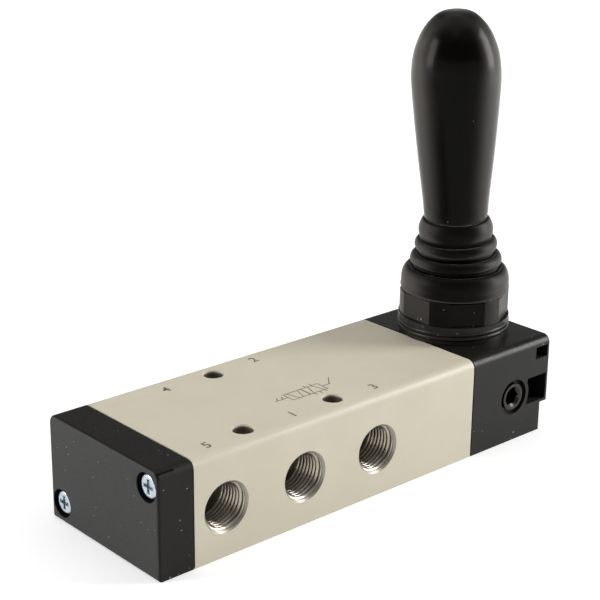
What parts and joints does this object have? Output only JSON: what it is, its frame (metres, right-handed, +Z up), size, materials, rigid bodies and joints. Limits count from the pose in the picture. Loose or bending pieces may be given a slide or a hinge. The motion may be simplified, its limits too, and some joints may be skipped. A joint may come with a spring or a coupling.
{
  "type": "hand lever air valve",
  "caption": "Hand lever air valve: cream block with side ports, black end cover, and a black housing with bellows boot and tapered handle",
  "frame": {"origin": "middle of the rectangular footprint of the body, cover and housing, on the base plane", "axes": "+X along the body towards the lever, -Y the face with ports 5, 1 and 3, +Z up along the lever"},
  "size_m": [0.1078, 0.035, 0.0926],
  "materials": {
    "cream_enamel": "satin",
    "black_moulding": "satin",
    "seal_rubber": "matte",
    "zinc_steel": "satin",
    "bright_steel": "polished",
    "turned_aluminium": "satin",
    "white_acetal": "satin",
    "gloss_black": "gloss",
    "brass": "satin"
  },
  "bodies": {
    "valve": {"valve_body": "cream_enamel", "end_cover": "black_moulding", "cover_gasket": "seal_rubber", "cover_screws": "zinc_steel", "end_bumper": "seal_rubber", "lever_housing": "black_moulding", "housing_gasket": "seal_rubber", "housing_screws": "zinc_steel", "socket_seat": "white_acetal", "socket_cap": "white_acetal", "retaining_bush": "black_moulding", "boot": "seal_rubber", "detent_screws": "zinc_steel", "detent_springs": "bright_steel", "detent_balls": "bright_steel"},
    "slider": {"spool": "turned_aluminium", "spool_seals": "seal_rubber", "drive_block": "white_acetal", "link_pin": "bright_steel"},
    "lever": {"lever_rod": "bright_steel", "pivot_pin": "bright_steel", "grip": "gloss_black", "grip_insert": "brass"}
  },
  "joints": [
    {"name": "lever_tilt", "type": "hinge", "parent": "valve", "child": "lever", "pos_m": [0.04165, 0, 0.027], "axis": [0, 1, 0], "range_deg": [-6.6, 13.4], "deforming": ["boot"]},
    {"name": "spool_slide", "type": "slide", "parent": "valve", "child": "slider", "axis": [1, 0, 0], "range_m": [-0.00394, 0.00195]}
  ],
  "couplings": [
    {"joint": "spool_slide", "follows": "lever_tilt", "m_per_rad": -0.0168}
  ]
}
